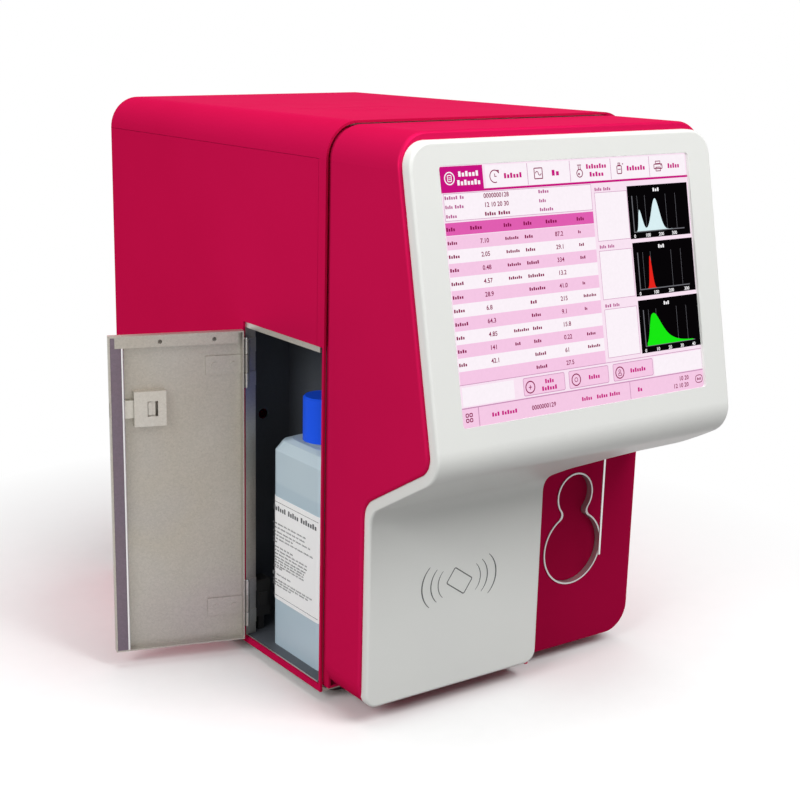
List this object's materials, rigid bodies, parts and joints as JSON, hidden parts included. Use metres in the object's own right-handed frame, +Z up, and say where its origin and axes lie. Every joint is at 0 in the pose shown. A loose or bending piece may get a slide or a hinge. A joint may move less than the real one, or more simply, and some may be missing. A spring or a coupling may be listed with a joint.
{
  "type": "hematology analyzer",
  "caption": "Bench-top blood cell analyzer with a tilted touch screen, sampling bay and open reagent door.",
  "frame": {"origin": "middle of the underside of the base plate", "axes": "+Z up, -Y towards the operator and the screen, +X to the operator's right"},
  "size_m": [0.4212, 0.5297, 0.471],
  "materials": {
    "case_paint": "satin",
    "cover_plastic": "satin",
    "key_plastic": "gloss",
    "bezel_plastic": "gloss",
    "trim_plastic": "satin",
    "screen_glass": "gloss",
    "display_housing": "matte",
    "zinc_sheet": "satin",
    "liner_paint": "matte",
    "bright_steel": "polished",
    "turned_aluminium": "satin",
    "foot_rubber": "matte",
    "bottle_plastic": "gloss",
    "reagent": "gloss",
    "label_paper": "matte",
    "cap_plastic": "satin",
    "clear_plastic": "gloss",
    "board_green": "satin",
    "black_plastic": "matte",
    "port_plastic": "satin"
  },
  "bodies": {
    "chassis": {"base_plate": "zinc_sheet", "bath_shelf": "zinc_sheet", "board_bracket": "zinc_sheet", "bottle_label": "label_paper", "bulkhead": "zinc_sheet", "compartment_liner": "liner_paint", "corner_posts": "zinc_sheet", "counting_baths": "clear_plastic", "data_sockets": "black_plastic", "display_brackets": "zinc_sheet", "display_module": "display_housing", "door_frame": "zinc_sheet", "door_sensor": "black_plastic", "fan_grille": "bright_steel", "fan_housing": "black_plastic", "feet": "foot_rubber", "fluid_plate": "zinc_sheet", "fluid_ports": "port_plastic", "front_bezel": "bezel_plastic", "front_cover": "cover_plastic", "guide_rods": "bright_steel", "hinge_brackets": "zinc_sheet", "hinge_pins": "bright_steel", "key_holder": "black_plastic", "key_switch": "black_plastic", "key_trim": "trim_plastic", "left_side_panel": "case_paint", "mainboard": "board_green", "mains_inlet": "black_plastic", "panel_screws": "bright_steel", "power_supply": "turned_aluminium", "probe_bracket": "zinc_sheet", "probe_motor": "black_plastic", "reagent_bottle": "bottle_plastic", "reagent_fill": "reagent", "rear_panel": "case_paint", "right_side_panel": "case_paint", "rocker_frame": "black_plastic", "solenoid_valves": "black_plastic", "syringe_barrels": "clear_plastic", "syringe_block": "turned_aluminium", "syringe_motor": "black_plastic", "touch_screen": "screen_glass", "upper_cover": "case_paint", "vacuum_chamber": "port_plastic", "valve_manifold": "turned_aluminium", "wash_block": "black_plastic", "waste_pump": "black_plastic"},
    "reagent_door": {"door_pan": "zinc_sheet", "hinge_leaves": "zinc_sheet", "latch_plate": "zinc_sheet"},
    "door_latch": {"latch_tongue": "zinc_sheet"},
    "aspirate_key": {"aspirate_key": "key_plastic"},
    "sampling_probe": {"probe_carriage": "turned_aluminium", "probe_needle": "bright_steel"},
    "probe_drive": {"lead_screw": "bright_steel"},
    "syringe_drive": {"syringe_plungers": "turned_aluminium"},
    "cooling_fan": {"fan_rotor": "black_plastic"},
    "power_rocker": {"rocker_switch": "black_plastic"},
    "bottle_cap": {"bottle_cap": "cap_plastic"}
  },
  "joints": [
    {"name": "door_hinge", "type": "hinge", "parent": "chassis", "child": "reagent_door", "pos_m": [-0.1532, -0.063, 0.145], "axis": [0, 0, 1], "range_deg": [-13, 107]},
    {"name": "latch_slide", "type": "slide", "parent": "reagent_door", "child": "door_latch", "axis": [0.9563, -0.2924, 0], "range_m": [0, 0.0035], "stiffness_N_per_m": 300, "springref_m": -0.002},
    {"name": "key_push", "type": "slide", "parent": "chassis", "child": "aspirate_key", "axis": [0, 1, 0], "range_m": [0, 0.003], "stiffness_N_per_m": 800, "springref_m": -0.001},
    {"name": "probe_lift", "type": "slide", "parent": "chassis", "child": "sampling_probe", "axis": [0, 0, 1], "range_m": [0, 0.075]},
    {"name": "screw_turn", "type": "hinge", "parent": "chassis", "child": "probe_drive", "pos_m": [0.104, -0.2, 0.3], "axis": [0, 0, 1], "range_deg": [0, 3375]},
    {"name": "plunger_slide", "type": "slide", "parent": "chassis", "child": "syringe_drive", "axis": [0, 0, 1], "range_m": [-0.02, 0.024]},
    {"name": "fan_spin", "type": "hinge", "parent": "chassis", "child": "cooling_fan", "pos_m": [0.07, 0.176, 0.33], "axis": [0, 1, 0], "continuous": true},
    {"name": "rocker_tilt", "type": "hinge", "parent": "chassis", "child": "power_rocker", "pos_m": [0.062, 0.1856, 0.062], "axis": [1, 0, 0], "range_deg": [-14, 0]},
    {"name": "cap_turn", "type": "hinge", "parent": "chassis", "child": "bottle_cap", "pos_m": [-0.113, -0.12275, 0.215], "axis": [0, 0, 1], "range_deg": [0, 540]}
  ],
  "couplings": [
    {"joint": "screw_turn", "follows": "probe_lift", "rad_per_m": 785.4}
  ]
}
